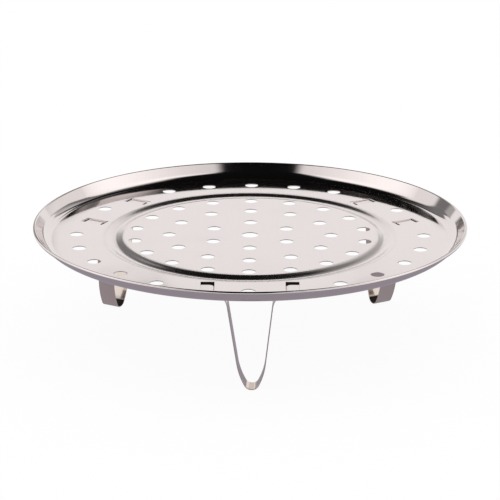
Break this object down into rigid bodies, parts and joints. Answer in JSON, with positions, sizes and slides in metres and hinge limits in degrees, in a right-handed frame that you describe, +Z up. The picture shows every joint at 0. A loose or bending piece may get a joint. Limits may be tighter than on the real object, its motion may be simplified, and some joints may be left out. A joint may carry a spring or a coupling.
{
  "type": "steamer rack",
  "caption": "Round perforated steel steaming tray with a ring groove and a flared rolled rim, standing on detachable sprung strip legs.",
  "frame": {"origin": "on the surface that the feet stand on, under the tray's centre", "axes": "+Z up through the tray's centre, -Y towards the front leg"},
  "size_m": [0.2596, 0.2596, 0.0686],
  "materials": {
    "tray_steel": "polished stainless sheet, mirror-like with faint rolling grain",
    "leg_steel": "polished stainless spring strip, slightly duller than the tray"
  },
  "bodies": {
    "tray": {"perforated_tray": "tray_steel"},
    "front_leg": {"front_leg": "leg_steel"},
    "rear_right_leg": {"rear_right_leg": "leg_steel"},
    "rear_left_leg": {"rear_left_leg": "leg_steel"}
  },
  "joints": [
    {"name": "front_leg_release", "type": "slide", "parent": "tray", "child": "front_leg", "axis": [0, 0, -1], "range_m": [0, 0.025], "deforming": ["front_leg"]},
    {"name": "rear_right_leg_release", "type": "slide", "parent": "tray", "child": "rear_right_leg", "axis": [0, 0, -1], "range_m": [0, 0.025], "deforming": ["rear_right_leg"]},
    {"name": "rear_left_leg_release", "type": "slide", "parent": "tray", "child": "rear_left_leg", "axis": [0, 0, -1], "range_m": [0, 0.025], "deforming": ["rear_left_leg"]}
  ]
}
